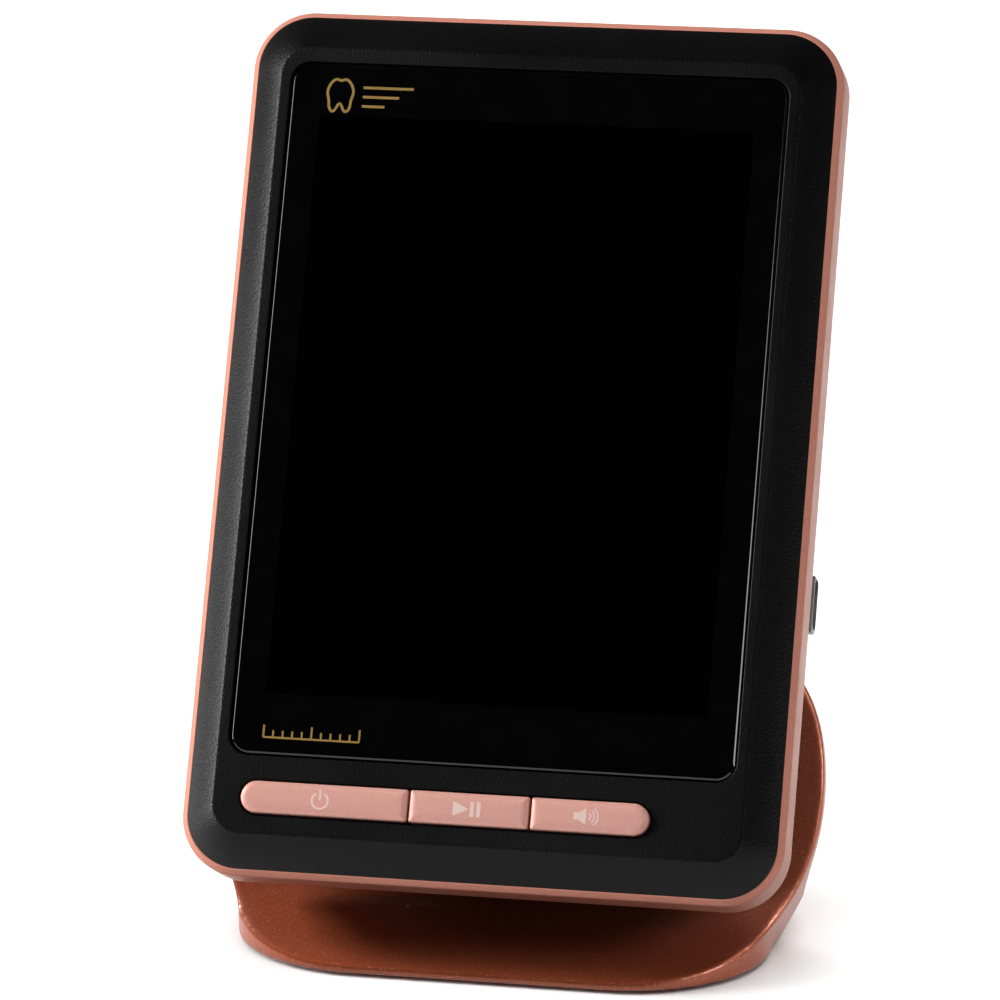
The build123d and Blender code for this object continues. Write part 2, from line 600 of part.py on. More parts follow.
def stand_shell():
    """The foot and the leaning wall, one piece, in the object's own frame."""
    side = Plane.YZ.offset(-PROFILE_HALF) * stand_profile()
    body = extrude(side, 2 * PROFILE_HALF, dir=(1, 0, 0))
    foot = extrude(foot_outline(), FOOT_REACH)
    wall_low = WALL_FRONT_Z - WALL - WALL_REACH_BACK
    wall_depth = WALL_REACH_FRONT + WALL + WALL_REACH_BACK
    wall = FACE * extrude(Pos(0, 0, wall_low) * wall_outline(), wall_depth)
    body = (body & foot) + (body & wall)
    body -= extrude(Pos(0, BASE_Y, 0) * RectangleRounded(BASE_W, BASE_H, BASE_R), WEIGHT_TOP)
    for x, y in PADS:
        body -= rod(PAD_R, 0, PAD_TOP, x, y)
    for x, y in BASE_SCREWS:
        body -= rod(1.0, 0, WEIGHT_TOP + 1.6, x, y)
    for x, y in LEAF_SCREWS:
        hole = rod(1.0, WALL_FRONT_Z - WALL, WALL_FRONT_Z, x, y)
        seat = rod(2.1, WALL_FRONT_Z - WALL - 1, WALL_FRONT_Z - WALL + 1.3, x, y)
        body -= FACE * (hole + seat)
    return body


def base_weight():
    """The steel plate that keeps the stand down."""
    gap = 0.4
    plate = Pos(0, BASE_Y, BASE_COVER_TOP) * RectangleRounded(BASE_W - gap, BASE_H - gap, BASE_R)
    body = extrude(plate, WEIGHT_TOP - BASE_COVER_TOP)
    for x, y in BASE_SCREWS:
        body -= rod(1.1, BASE_COVER_TOP, WEIGHT_TOP, x, y)
    return body


def base_cover():
    """The plastic cover under the weight."""
    gap = 0.4
    plate = Pos(0, BASE_Y, FOOT_LOW) * RectangleRounded(BASE_W - gap, BASE_H - gap, BASE_R)
    body = extrude(plate, BASE_COVER_TOP - FOOT_LOW)
    for x, y in BASE_SCREWS:
        body -= rod(1.8, FOOT_LOW, FOOT_LOW + 0.6, x, y)
        body -= rod(1.0, FOOT_LOW, BASE_COVER_TOP, x, y)
    return body


def base_screws():
    low = FOOT_LOW + 0.1
    return group(screw(1.7, 0.5, 1.0, low, WEIGHT_TOP + 1.4, x, y) for x, y in BASE_SCREWS)


def rubber_feet():
    pads = []
    for x, y in PADS:
        pad = rod(PAD_R, 0, PAD_TOP, x, y)
        pads.append(chamfer(pad.faces().sort_by(Axis.Z)[0].edges(), PAD_CHAMFER))
    return group(pads)


# ---- the whole object ----------------------------------------------------------------
HEAD_PARTS = {
    "rim_frame": rim_frame,
    "front_bezel": front_bezel,
    "window_lens": window_lens,
    "lens_tape": lens_tape,
    "lcd_panel": lcd_panel,
    "lcd_backlight": lcd_backlight,
    "lcd_bracket": lcd_bracket,
    "flat_cable": flat_cable,
    "main_board": main_board,
    "board_chips": board_chips,
    "board_screws": board_screws,
    "key_board": key_board,
    "key_board_screws": key_board_screws,
    "key_cable": key_cable,
    "tact_switches": tact_switches,
    "rear_cover": rear_cover,
    "battery_door": battery_door,
    "battery_door_screw": battery_door_screw,
    "battery_pack": battery_pack,
    "buzzer": buzzer,
    "case_screws": case_screws,
    "port_surround": port_surround,
    "probe_socket": probe_socket,
    "charge_socket": charge_socket,
    "hinge_leaf_head": hinge_leaf_head,
    "hinge_head_screws": hinge_head_screws,
    "hinge_pin": hinge_pin,
    "hinge_leaf_stand": hinge_leaf_stand,
    "hinge_stand_screws": hinge_stand_screws,
    "hinge_washers": hinge_washers,
}
STAND_PARTS = {
    "stand_shell": stand_shell,
    "base_weight": base_weight,
    "base_cover": base_cover,
    "base_screws": base_screws,
    "rubber_feet": rubber_feet,
}


def main():
    os.makedirs("parts", exist_ok=True)
    for name, make in HEAD_PARTS.items():
        export_step(FACE * make(), f"parts/{name}.step")
    for index, name in enumerate(KEY_NAMES):
        export_step(FACE * key(index), f"parts/{name}.step")
    for name, make in STAND_PARTS.items():
        export_step(make(), f"parts/{name}.step")


main()
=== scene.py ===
import json
import math

import bmesh
import bpy
from mathutils import Matrix, Vector


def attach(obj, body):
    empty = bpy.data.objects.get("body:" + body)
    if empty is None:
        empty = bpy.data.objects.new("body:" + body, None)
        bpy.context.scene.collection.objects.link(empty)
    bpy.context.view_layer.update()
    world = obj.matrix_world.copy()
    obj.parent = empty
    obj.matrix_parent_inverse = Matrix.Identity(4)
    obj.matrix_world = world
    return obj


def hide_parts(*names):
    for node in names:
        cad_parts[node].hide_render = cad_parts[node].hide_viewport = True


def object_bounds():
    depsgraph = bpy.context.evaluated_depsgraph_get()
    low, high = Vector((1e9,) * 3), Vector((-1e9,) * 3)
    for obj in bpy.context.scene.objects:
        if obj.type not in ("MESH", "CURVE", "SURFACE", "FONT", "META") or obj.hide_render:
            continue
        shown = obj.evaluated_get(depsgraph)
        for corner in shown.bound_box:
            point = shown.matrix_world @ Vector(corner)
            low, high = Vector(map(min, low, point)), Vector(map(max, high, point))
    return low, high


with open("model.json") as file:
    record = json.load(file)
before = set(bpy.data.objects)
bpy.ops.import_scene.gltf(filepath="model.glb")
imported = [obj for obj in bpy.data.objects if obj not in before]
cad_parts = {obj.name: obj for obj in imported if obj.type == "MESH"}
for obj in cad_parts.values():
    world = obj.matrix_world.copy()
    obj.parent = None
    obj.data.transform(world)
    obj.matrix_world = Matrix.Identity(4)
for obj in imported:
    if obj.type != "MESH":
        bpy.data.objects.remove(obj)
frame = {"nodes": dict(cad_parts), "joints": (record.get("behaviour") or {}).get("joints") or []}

# A desk-top apex locator: a display unit with a bevelled black front and a rose
# rim, leaning back on a copper-painted stand. Metres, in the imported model's frame.
# Pieces of the display unit are drawn in its face frame: x to the right, y up the
# face, z out of the face, with z = 0 where the rim meets the rear cover.

MM = 0.001
CAD_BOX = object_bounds()


# ---- camera ---------------------------------------------------------------------
CAMERA_AZIMUTH = math.radians(11.45)
CAMERA_ELEVATION = math.radians(14.63)
CAMERA_PLACE = Vector((174.8, -879.3, 302.0)) * MM
CAMERA_LENS, CAMERA_SENSOR = 214.5, 36.0      # in the camera's own millimetres
CAMERA_NEAR, CAMERA_FAR = 0.05, 20.0


def make_camera():
    """The scene's camera; returns the direction from the object towards it."""
    sin_a, cos_a = math.sin(CAMERA_AZIMUTH), math.cos(CAMERA_AZIMUTH)
    sin_e, cos_e = math.sin(CAMERA_ELEVATION), math.cos(CAMERA_ELEVATION)
    right = Vector((cos_a, sin_a, 0))
    back = Vector((sin_a * cos_e, -cos_a * cos_e, sin_e))
    up = back.cross(right)
    data = bpy.data.cameras.new("camera")
    data.lens = CAMERA_LENS
    data.sensor_width = CAMERA_SENSOR
    data.clip_start = CAMERA_NEAR
    data.clip_end = CAMERA_FAR
    camera = bpy.data.objects.new("camera", data)
    bpy.context.scene.collection.objects.link(camera)
    turn = Matrix((right, up, back)).transposed().to_4x4()
    camera.matrix_world = Matrix.Translation(CAMERA_PLACE) @ turn
    bpy.context.scene.camera = camera
    return back


TOWARDS_CAMERA = make_camera()


# ---- the face frame ---------------------------------------------------------------
def extremes(points):
    """The lowest and the highest corner of the box round some points."""
    low = Vector([min(p[i] for p in points) for i in range(3)])
    high = Vector([max(p[i] for p in points) for i in range(3)])
    return low, high


def face_frame():
    """The display unit's own frame, found from the keys' travel and the rim."""
    press = next(j for j in frame["joints"] if j["name"] == "power_press")
    out = -Vector(press["axis"]).normalized()
    right = Vector((1, 0, 0))
    turn = Matrix((right, out.cross(right), out)).transposed()
    rim = frame["nodes"]["rim_frame"].data.vertices
    low, high = extremes([turn.transposed() @ vertex.co for vertex in rim])
    origin = turn @ Vector((0, (low.y + high.y) / 2, low.z))
    return Matrix.Translation(origin) @ turn.to_4x4(), out


FACE, FACE_OUT = face_frame()
FACE_BACK = FACE.inverted()


def face_box(node):
    """A CAD node's lowest and highest corners in the face frame."""
    return extremes([FACE_BACK @ v.co for v in frame["nodes"][node].data.vertices])


# ---- mesh helpers -----------------------------------------------------------------
CORNER_STEPS = 20            # points round a quarter turn of an outline
SMALLEST_RADIUS = 0.02 * MM
SIDE_SHARE = 0.49            # the most of a side that one rounded corner takes up


def outline(low, high, radii, z, inset=0.0):
    """A rounded rectangle as a loop; radii go right-top, left-top, left-low, right-low."""
    x_side, y_side = (high[0], low[0], low[0], high[0]), (high[1], high[1], low[1], low[1])
    x_in, y_in = (-1, 1, 1, -1), (-1, -1, 1, 1)
    points = []
    for index in range(4):
        radius = max(radii[index] - inset, SMALLEST_RADIUS)
        x = x_side[index] + x_in[index] * (radius + inset)
        y = y_side[index] + y_in[index] * (radius + inset)
        for step in range(CORNER_STEPS + 1):
            angle = (index + step / CORNER_STEPS) * math.pi / 2
            points.append((x + radius * math.cos(angle), y + radius * math.sin(angle), z))
    return points


def soften(corners, radii, steps=6):
    """A line of 2D corners with each inner corner rounded to about its radius."""
    line = [corners[0]]
    for before, corner, after, radius in zip(corners, corners[1:], corners[2:], radii):
        corner = Vector(corner)
        back, ahead = Vector(before) - corner, Vector(after) - corner
        half = back.angle(ahead) / 2
        room = SIDE_SHARE * min(back.length, ahead.length)
        reach = min(radius / math.tan(half), room)
        start, end = corner + back.normalized() * reach, corner + ahead.normalized() * reach
        for step in range(steps + 1):
            t = step / steps
            line.append(tuple(start * (1 - t) ** 2 + corner * 2 * t * (1 - t) + end * t ** 2))
    return line + [corners[-1]]


def bridge(bm, first, second, material=0):
    """Quads between two loops of vertices."""
    for i, vertex in enumerate(first):
        j = (i + 1) % len(first)
        face = bm.faces.new((vertex, first[j], second[j], second[i]))
        face.material_index = material


def skin(bm, loops, material=0):
    """Quads between successive loops of points; returns the loops' vertices."""
    rows = [[bm.verts.new(point) for point in loop] for loop in loops]
    for low, high in zip(rows, rows[1:]):
        bridge(bm, low, high, material)
    return rows


def row_edges(bm, row):
    """The edges round one loop of vertices."""
    return [bm.edges.get((a, b)) for a, b in zip(row, row[1:] + row[:1])]


def ribbon(bm, points, width, z, closed=False):
    """A flat printed line along 2D points."""
    count = len(points)
    sides = []
    for i in range(count):
        before = Vector(points[i - 1] if closed or i > 0 else points[0])
        after = Vector(points[(i + 1) % count] if closed or i < count - 1 else points[-1])
        along = (after - before).normalized()
        across = Vector((-along.y, along.x)) * width / 2
        middle = Vector(points[i])
        left, right = middle + across, middle - across
        sides.append((bm.verts.new((left.x, left.y, z)), bm.verts.new((right.x, right.y, z))))
    last = count if closed else count - 1
    for i in range(last):
        (a, b), (c, d) = sides[i], sides[(i + 1) % count]
        bm.faces.new((b, d, c, a))


def patch(bm, points, z):
    """A flat printed area."""
    bm.faces.new([bm.verts.new((x, y, z)) for x, y in points])


def add_piece(name, bm, body, materials, replaces=(), place=FACE, sharp=35.0):
    """Turns a bmesh into a piece that rides on a body and stands for CAD nodes."""
    bmesh.ops.recalc_face_normals(bm, faces=bm.faces)
    mesh = bpy.data.meshes.new(name)
    bm.to_mesh(mesh)
    bm.free()
    for material in materials:
        mesh.materials.append(material)
    piece = bpy.data.objects.new(name, mesh)
    bpy.context.scene.collection.objects.link(piece)
    piece.matrix_world = place
    mesh.shade_smooth()
    mesh.set_sharp_from_angle(angle=math.radians(sharp))
    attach(piece, body)
    if replaces:
        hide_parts(*replaces)
    return piece


# ---- material helpers ---------------------------------------------------------------
class Finish:
    """A Principled material whose colour, roughness and relief vary over the surface."""

    def __init__(self, name, **values):
        self.material = bpy.data.materials.new(name)
        self.material.use_nodes = True
        self.tree = self.material.node_tree
        self.shader = self.tree.nodes["Principled BSDF"]
        self.place = self.tree.nodes.new("ShaderNodeTexCoord").outputs["Object"]
        for socket, value in values.items():
            self.shader.inputs[socket.replace("_", " ")].default_value = value

    def noise(self, size, detail=2.0, stretch=(1, 1, 1)):
        """Noise whose blobs are about size metres across."""
        node = self.tree.nodes.new("ShaderNodeTexNoise")
        node.inputs["Scale"].default_value = 1 / size
        node.inputs["Detail"].default_value = detail
        mapping = self.tree.nodes.new("ShaderNodeMapping")
        mapping.inputs["Scale"].default_value = stretch
        self.tree.links.new(self.place, mapping.inputs["Vector"])
        self.tree.links.new(mapping.outputs["Vector"], node.inputs["Vector"])
        return node.outputs["Fac"]

    def cells(self, size):
        """Random grey, one value in each cell of about size metres."""
        node = self.tree.nodes.new("ShaderNodeTexVoronoi")
        node.inputs["Scale"].default_value = 1 / size
        self.tree.links.new(self.place, node.inputs["Vector"])
        return node.outputs["Color"]

    def ramp(self, source, low, high, start=0.3, end=0.7):
        """A colour source that runs from low, where source is start, to high at end."""
        node = self.tree.nodes.new("ShaderNodeValToRGB")
        stops = zip(node.color_ramp.elements, (start, end), (low, high))
        for element, position, colour in stops:
            element.position = position
            element.color = (*colour, 1.0)
        self.tree.links.new(source, node.inputs["Fac"])
        return node.outputs["Color"]

    def grey(self, source, low, high, start=0.3, end=0.7):
        """A number source that runs from low, where source is start, to high at end."""
        node = self.tree.nodes.new("ShaderNodeMapRange")
        node.inputs["From Min"].default_value = start
        node.inputs["From Max"].default_value = end
        node.inputs["To Min"].default_value = low
        node.inputs["To Max"].default_value = high
        self.tree.links.new(source, node.inputs["Value"])
        return node.outputs["Result"]

    def mix(self, factor, first, second):
        """Two colour sources mixed by a factor source."""
        node = self.tree.nodes.new("ShaderNodeMix")
        node.data_type = "RGBA"
        self.tree.links.new(factor, node.inputs["Factor"])
        self.tree.links.new(first, node.inputs[6])
        self.tree.links.new(second, node.inputs[7])
        return node.outputs[2]

    def both(self, first, second):
        """One where both sources are one, else nought."""
        node = self.tree.nodes.new("ShaderNodeMath")
        node.operation = "MULTIPLY"
        self.tree.links.new(first, node.inputs[0])
        self.tree.links.new(second, node.inputs[1])
        return node.outputs[0]

    def near(self, source, centre, reach):
        """One where the source is within reach of centre, else nought."""
        node = self.tree.nodes.new("ShaderNodeMath")
        node.operation = "COMPARE"
        node.inputs[1].default_value = centre
        node.inputs[2].default_value = reach
        self.tree.links.new(source, node.inputs[0])
        return node.outputs[0]

    def feed(self, socket, source):
        self.tree.links.new(source, self.shader.inputs[socket])
        return self

    def relief(self, source, height):
        """Bump whose full range is height metres."""
        node = self.tree.nodes.new("ShaderNodeBump")
        node.inputs["Strength"].default_value = 1.0
        node.inputs["Distance"].default_value = height
        self.tree.links.new(source, node.inputs["Height"])
        self.tree.links.new(node.outputs["Normal"], self.shader.inputs["Normal"])
        return self


# ---- materials ----------------------------------------------------------------------
DISPLAY_W, DISPLAY_H = 68.58 * MM, 91.44 * MM      # lit area of the panel
DISPLAY_SHIFT = 1.3 * MM                           # its middle, above the panel's middle


def spark_black(name, dark, light, rough, grain, gloss=0.32):
    """Black moulded plastic with a fine spark-eroded grain and faint handling marks."""
    finish = Finish(name, Specular_IOR_Level=gloss, IOR=1.5)
    fine = finish.noise(0.36 * MM, detail=2.0)
    broad = finish.noise(24 * MM, detail=4.0)
    mottle = finish.noise(0.5 * MM)
    finish.feed("Base Color", finish.ramp(mottle, dark, light, 0.35, 0.7))
    finish.feed("Roughness", finish.grey(broad, rough - 0.05, rough + 0.06))
    return finish.relief(fine, grain).material


def window_black():
    """Gloss glass over black print; the display's area below it is darker still."""
    finish = Finish("window_glass", Specular_IOR_Level=0.42, IOR=1.5)
    low, high = face_box("lcd_panel")
    middle = (low.y + high.y) / 2 + DISPLAY_SHIFT
    split = finish.tree.nodes.new("ShaderNodeSeparateXYZ")
    finish.tree.links.new(finish.place, split.inputs["Vector"])
    across = finish.near(split.outputs["X"], 0, DISPLAY_W / 2)
    along = finish.near(split.outputs["Y"], middle, DISPLAY_H / 2)
    inside = finish.both(across, along)
    blots = finish.noise(6 * MM)
    pixels = finish.noise(0.2 * MM)
    print_black = finish.ramp(blots, (0.0010, 0.0010, 0.0011), (0.0016, 0.0016, 0.0018))
    panel_black = finish.ramp(pixels, (0.0001, 0.0001, 0.0001), (0.0003, 0.0003, 0.0003), 0.4, 0.6)
    finish.feed("Base Color", finish.mix(inside, print_black, panel_black))
    smudge = finish.noise(9 * MM, detail=5.0, stretch=(1, 0.5, 1))
    return finish.feed("Roughness", finish.grey(smudge, 0.02, 0.07, 0.45, 0.8)).material


def rose_metal(name, deep, pale, rough, metal):
    """Rose-gold finish: a very fine metallic grain, a little paler in patches."""
    finish = Finish(name, Metallic=metal, Specular_IOR_Level=0.12)
    fine = finish.noise(0.16 * MM)
    broad = finish.noise(11 * MM, detail=4.0)
    finish.feed("Base Color", finish.ramp(fine, deep, pale))
    finish.feed("Roughness", finish.grey(broad, rough - 0.04, rough + 0.05))
    return finish.relief(finish.noise(0.12 * MM), 0.003 * MM).material


def copper_paint():
    """Copper base coat with scattered bright flakes under a smooth clear coat."""
    finish = Finish("copper_paint", Metallic=0.45, Coat_Weight=0.4, Coat_Roughness=0.05,
                    Coat_IOR=1.45)
    mottle = finish.noise(0.35 * MM, detail=3.0)
    ground = finish.ramp(mottle, (0.28, 0.058, 0.023), (0.37, 0.085, 0.036))
    flake_tones = finish.cells(0.13 * MM)
    flakes = finish.ramp(flake_tones, (0.3, 0.07, 0.03), (0.9, 0.42, 0.22), 0.0, 1.0)
    scatter = finish.grey(finish.cells(0.16 * MM), 0.0, 0.7, 0.82, 0.92)
    finish.feed("Base Color", finish.mix(scatter, ground, flakes))
    finish.feed("Roughness", finish.grey(finish.noise(0.3 * MM), 0.36, 0.5))
    return finish.relief(finish.cells(0.14 * MM), 0.004 * MM).material


def ink(name, dark, light, size, metal, rough):
    """Printed ink with a fine grain; rough gives its least and most roughness."""
    finish = Finish(name, Metallic=metal, Specular_IOR_Level=0.4)
    grain = finish.noise(size)
    finish.feed("Base Color", finish.ramp(grain, dark, light))
    return finish.feed("Roughness", finish.grey(grain, *rough)).material


def steel(name, dark, light, rough, brush=(1, 1, 1)):
    """Metal with fine brushed or tumbled marks."""
    finish = Finish(name, Metallic=1.0)
    grain = finish.noise(0.4 * MM, detail=4.0, stretch=brush)
    finish.feed("Base Color", finish.ramp(grain, dark, light))
    finish.feed("Roughness", finish.grey(grain, rough - 0.06, rough + 0.08))
    return finish.relief(grain, 0.006 * MM).material


def plain_plastic(name, dark, light, rough, grain=0.01 * MM):
    """Satin moulded plastic, rubber, film or board lacquer with mottled colour."""
    finish = Finish(name, Specular_IOR_Level=0.45)
    mottle = finish.noise(2.5 * MM, detail=5.0)
    finish.feed("Base Color", finish.ramp(mottle, dark, light))
    finish.feed("Roughness", finish.grey(mottle, rough - 0.05, rough + 0.07))
    return finish.relief(finish.noise(0.3 * MM, detail=3.0), grain).material


# Each finish with the values that set it apart: two colours, roughness, depth of grain.
SPARK_BLACKS = {
    "bezel_grain": dict(dark=(0.0016, 0.0016, 0.0018), light=(0.0034, 0.0034, 0.0038),
                        rough=0.34, grain=0.095 * MM, gloss=0.11),
    "bezel_flat": dict(dark=(0.0012, 0.0012, 0.0012), light=(0.0024, 0.0024, 0.0024),
                       rough=0.42, grain=0.05 * MM, gloss=0.09),
    "case_grain": dict(dark=(0.012, 0.012, 0.013), light=(0.022, 0.022, 0.024),
                       rough=0.5, grain=0.045 * MM),
}

ROSE_METALS = {
    "rose_rim": dict(deep=(0.66, 0.25, 0.18), pale=(0.78, 0.33, 0.24), rough=0.4, metal=0.12),
    "rose_key": dict(deep=(0.70, 0.34, 0.285), pale=(0.82, 0.43, 0.365), rough=0.38, metal=0.15),
}

INKS = {
    "gold_print": dict(dark=(0.36, 0.22, 0.06), light=(0.48, 0.30, 0.09), size=0.15 * MM,
                       metal=0.6, rough=(0.4, 0.55)),
    "pale_print": dict(dark=(0.80, 0.56, 0.50), light=(0.88, 0.66, 0.60), size=0.12 * MM,
                       metal=0.1, rough=(0.4, 0.5)),
}

STEELS = {
    "bare_steel": dict(dark=(0.36, 0.36, 0.38), light=(0.52, 0.52, 0.54), rough=0.34,
                       brush=(1, 0.1, 1)),
    "dark_screw": dict(dark=(0.02, 0.02, 0.022), light=(0.05, 0.05, 0.055), rough=0.42),
    "bright_screw": dict(dark=(0.45, 0.45, 0.46), light=(0.62, 0.62, 0.64), rough=0.3),
    "bronze": dict(dark=(0.30, 0.16, 0.07), light=(0.42, 0.25, 0.12), rough=0.38),
}

PLAIN_PLASTICS = {
    "rubber": dict(dark=(0.012, 0.012, 0.012), light=(0.024, 0.024, 0.024), rough=0.75,
                   grain=0.03 * MM),
    "port_plastic": dict(dark=(0.16, 0.15, 0.135), light=(0.24, 0.225, 0.205), rough=0.3),
    "board_green": dict(dark=(0.01, 0.09, 0.04), light=(0.02, 0.14, 0.06), rough=0.38),
    "chip_black": dict(dark=(0.01, 0.01, 0.011), light=(0.03, 0.03, 0.032), rough=0.5),
    "white_plastic": dict(dark=(0.62, 0.62, 0.6), light=(0.74, 0.74, 0.72), rough=0.45),
    "amber_film": dict(dark=(0.38, 0.16, 0.02), light=(0.5, 0.23, 0.04), rough=0.28),
    "battery_wrap": dict(dark=(0.02, 0.05, 0.16), light=(0.04, 0.08, 0.22), rough=0.35),
    "black_tape": dict(dark=(0.01, 0.01, 0.01), light=(0.02, 0.02, 0.02), rough=0.6),
    "display_glass": dict(dark=(0.002, 0.002, 0.003), light=(0.005, 0.005, 0.006), rough=0.12,
                          grain=0.001 * MM),
}


def make_looks():
    """All the materials by name."""
    looks = {"window_glass": window_black(), "copper_paint": copper_paint()}
    kinds = ((spark_black, SPARK_BLACKS), (rose_metal, ROSE_METALS), (ink, INKS),
             (steel, STEELS), (plain_plastic, PLAIN_PLASTICS))
    for make, table in kinds:
        looks.update({name: make(name, **values) for name, values in table.items()})
    return looks


LOOKS = make_looks()

KEPT_NODES = {
    "rear_cover": "case_grain", "battery_door": "case_grain", "base_cover": "case_grain",
    "battery_door_screw": "dark_screw", "case_screws": "dark_screw", "base_screws": "dark_screw",
    "port_surround": "port_plastic", "probe_socket": "bare_steel", "charge_socket": "chip_black",
    "hinge_leaf_head": "bare_steel", "hinge_leaf_stand": "bare_steel",
    "hinge_pin": "bright_screw", "hinge_head_screws": "bright_screw",
    "hinge_stand_screws": "bright_screw", "hinge_washers": "bronze",
    "base_weight": "bare_steel", "rubber_feet": "rubber",
    "lens_tape": "black_tape", "lcd_panel": "display_glass", "lcd_backlight": "white_plastic",
    "lcd_bracket": "white_plastic", "flat_cable": "amber_film", "key_cable": "amber_film",
    "main_board": "board_green", "key_board": "board_green", "board_chips": "chip_black",
    "board_screws": "bright_screw", "key_board_screws": "bright_screw",
    "tact_switches": "bright_screw", "battery_pack": "battery_wrap", "buzzer": "chip_black",
}


def finish_kept_nodes():
    """Gives the CAD nodes that stay in the model their materials."""
    for node, look in KEPT_NODES.items():
        for slot in frame["nodes"][node].material_slots:
            slot.material = LOOKS[look]


# ---- rim ----------------------------------------------------------------------------
RIM_CORNER = 9.4 * MM
RIM_FACET = 0.9 * MM
RIM_RING = 2.4 * MM          # width of the ring, most of it behind the bezel
RIM_TUCK = 0.2 * MM          # fall of the ring's front towards its inner edge
RIM_ROUNDS = [0.35 * MM, 0.9 * MM, 0.12 * MM]      # back edge, and both edges of the facet


def make_rim():
    """A closed ring: small back edge, straight side, softly rounded into the front facet."""
    low, high = face_box("rim_frame")
    top = high.z
    corners = [(RIM_RING, 0), (0, 0), (0, top - RIM_FACET), (RIM_FACET, top),
               (RIM_RING, top - RIM_TUCK)]
    profile = soften(corners, RIM_ROUNDS)
    bm = bmesh.new()
    rows = skin(bm, [outline(low, high, [RIM_CORNER] * 4, z, inset) for inset, z in profile])
    bridge(bm, rows[-1], rows[0])
    add_piece("rim", bm, "head", [LOOKS["rose_rim"]], ["rim_frame"])


# ---- bezel --------------------------------------------------------------------------
BEZEL_CORNER = 8.5 * MM
BEZEL_SEAM = 0.14 * MM       # dark gap between bezel and rim
SKIRT_DEPTH, SKIRT_INSET = 0.8 * MM, 0.1 * MM      # the bezel's edge, tucked behind the rim
SKIRT_TURN = 0.05 * MM       # above and below the rim's front, where skirt turns into bevel
BEVEL_STEPS = 14
BEZEL_CROWN = 0.32           # how much steeper the bevel is outside than its mean slope
RIDGE_START, RIDGE_END = 0.965, 1.05      # where the ridge at the bevel's top begins and ends
RIDGE_STEPS = 5
FRONT_LOW = Vector((-41.0, -62.65, 0)) * MM      # flat front inside the bevel
FRONT_HIGH = Vector((41.0, 61.45, 0)) * MM
FRONT_CORNER = 4.5 * MM
FLAT_START, FLAT_STEP = 0.6 * MM, 0.1 * MM         # first two loops of the flat front
WINDOW_GAP = 0.2 * MM
WINDOW_CORNER = 3.2 * MM
SLOT_GAP = 0.3 * MM
HOLE_EDGE = 0.16 * MM
HOLE_STEPS = 4
SLOT_DEPTH = 2.4 * MM
WINDOW_DEPTH = 0.2 * MM      # how far the window's opening runs on below the glass


def bevel_loops(low, high, z_low, z_high):
    """Loops of the crowned bevel from the rim up, and of the ridge that ends in the flat front."""
    loops = []
    for step in range(BEVEL_STEPS + 1):
        t = RIDGE_START * step / BEVEL_STEPS
        rise = t + BEZEL_CROWN * t * (1 - t)
        loops.append(bevel_outline(low, high, t, z_low + (z_high - z_low) * rise))
    rise = RIDGE_START + BEZEL_CROWN * RIDGE_START * (1 - RIDGE_START)
    slope = 1 + BEZEL_CROWN * (1 - 2 * RIDGE_START)
    left = 1 - rise
    run = (RIDGE_END - RIDGE_START) * slope
    for step in range(1, RIDGE_STEPS + 1):
        u = step / RIDGE_STEPS
        t = RIDGE_START + (RIDGE_END - RIDGE_START) * u
        eased = rise + run * u * (1 - u) ** 2 + left * u * u * (3 - 2 * u)
        loops.append(bevel_outline(low, high, t, z_low + (z_high - z_low) * eased))
    return loops


def bevel_outline(low, high, t, z):
    """The outline between the bevel's foot (t = 0) and the flat front's edge (t = 1)."""
    corner = BEZEL_CORNER + (FRONT_CORNER - BEZEL_CORNER) * t
    return outline(low.lerp(FRONT_LOW, t), high.lerp(FRONT_HIGH, t), [corner] * 4, z)


def key_row_box():
    """Corners of the capsule that the three keys fill, without the end keys' flange."""
    first, last = face_box("power_button"), face_box("volume_button")
    low = Vector((first[0].x + KEY_FLANGE, first[0].y + KEY_FLANGE, 0))
    high = Vector((last[1].x - KEY_FLANGE, last[1].y - KEY_FLANGE, 0))
    return low, high


def hole(bm, low, high, radius, z_top, z_floor):
    """The rounded lip and the wall of an opening; returns the lip's outer vertices."""
    profile = soften([(-HOLE_EDGE * 2, z_top), (0, z_top), (0, z_floor)], [HOLE_EDGE], HOLE_STEPS)
    loops = [outline(low, high, [radius] * 4, z, inset) for inset, z in profile]
    return skin(bm, loops, 1)[0]


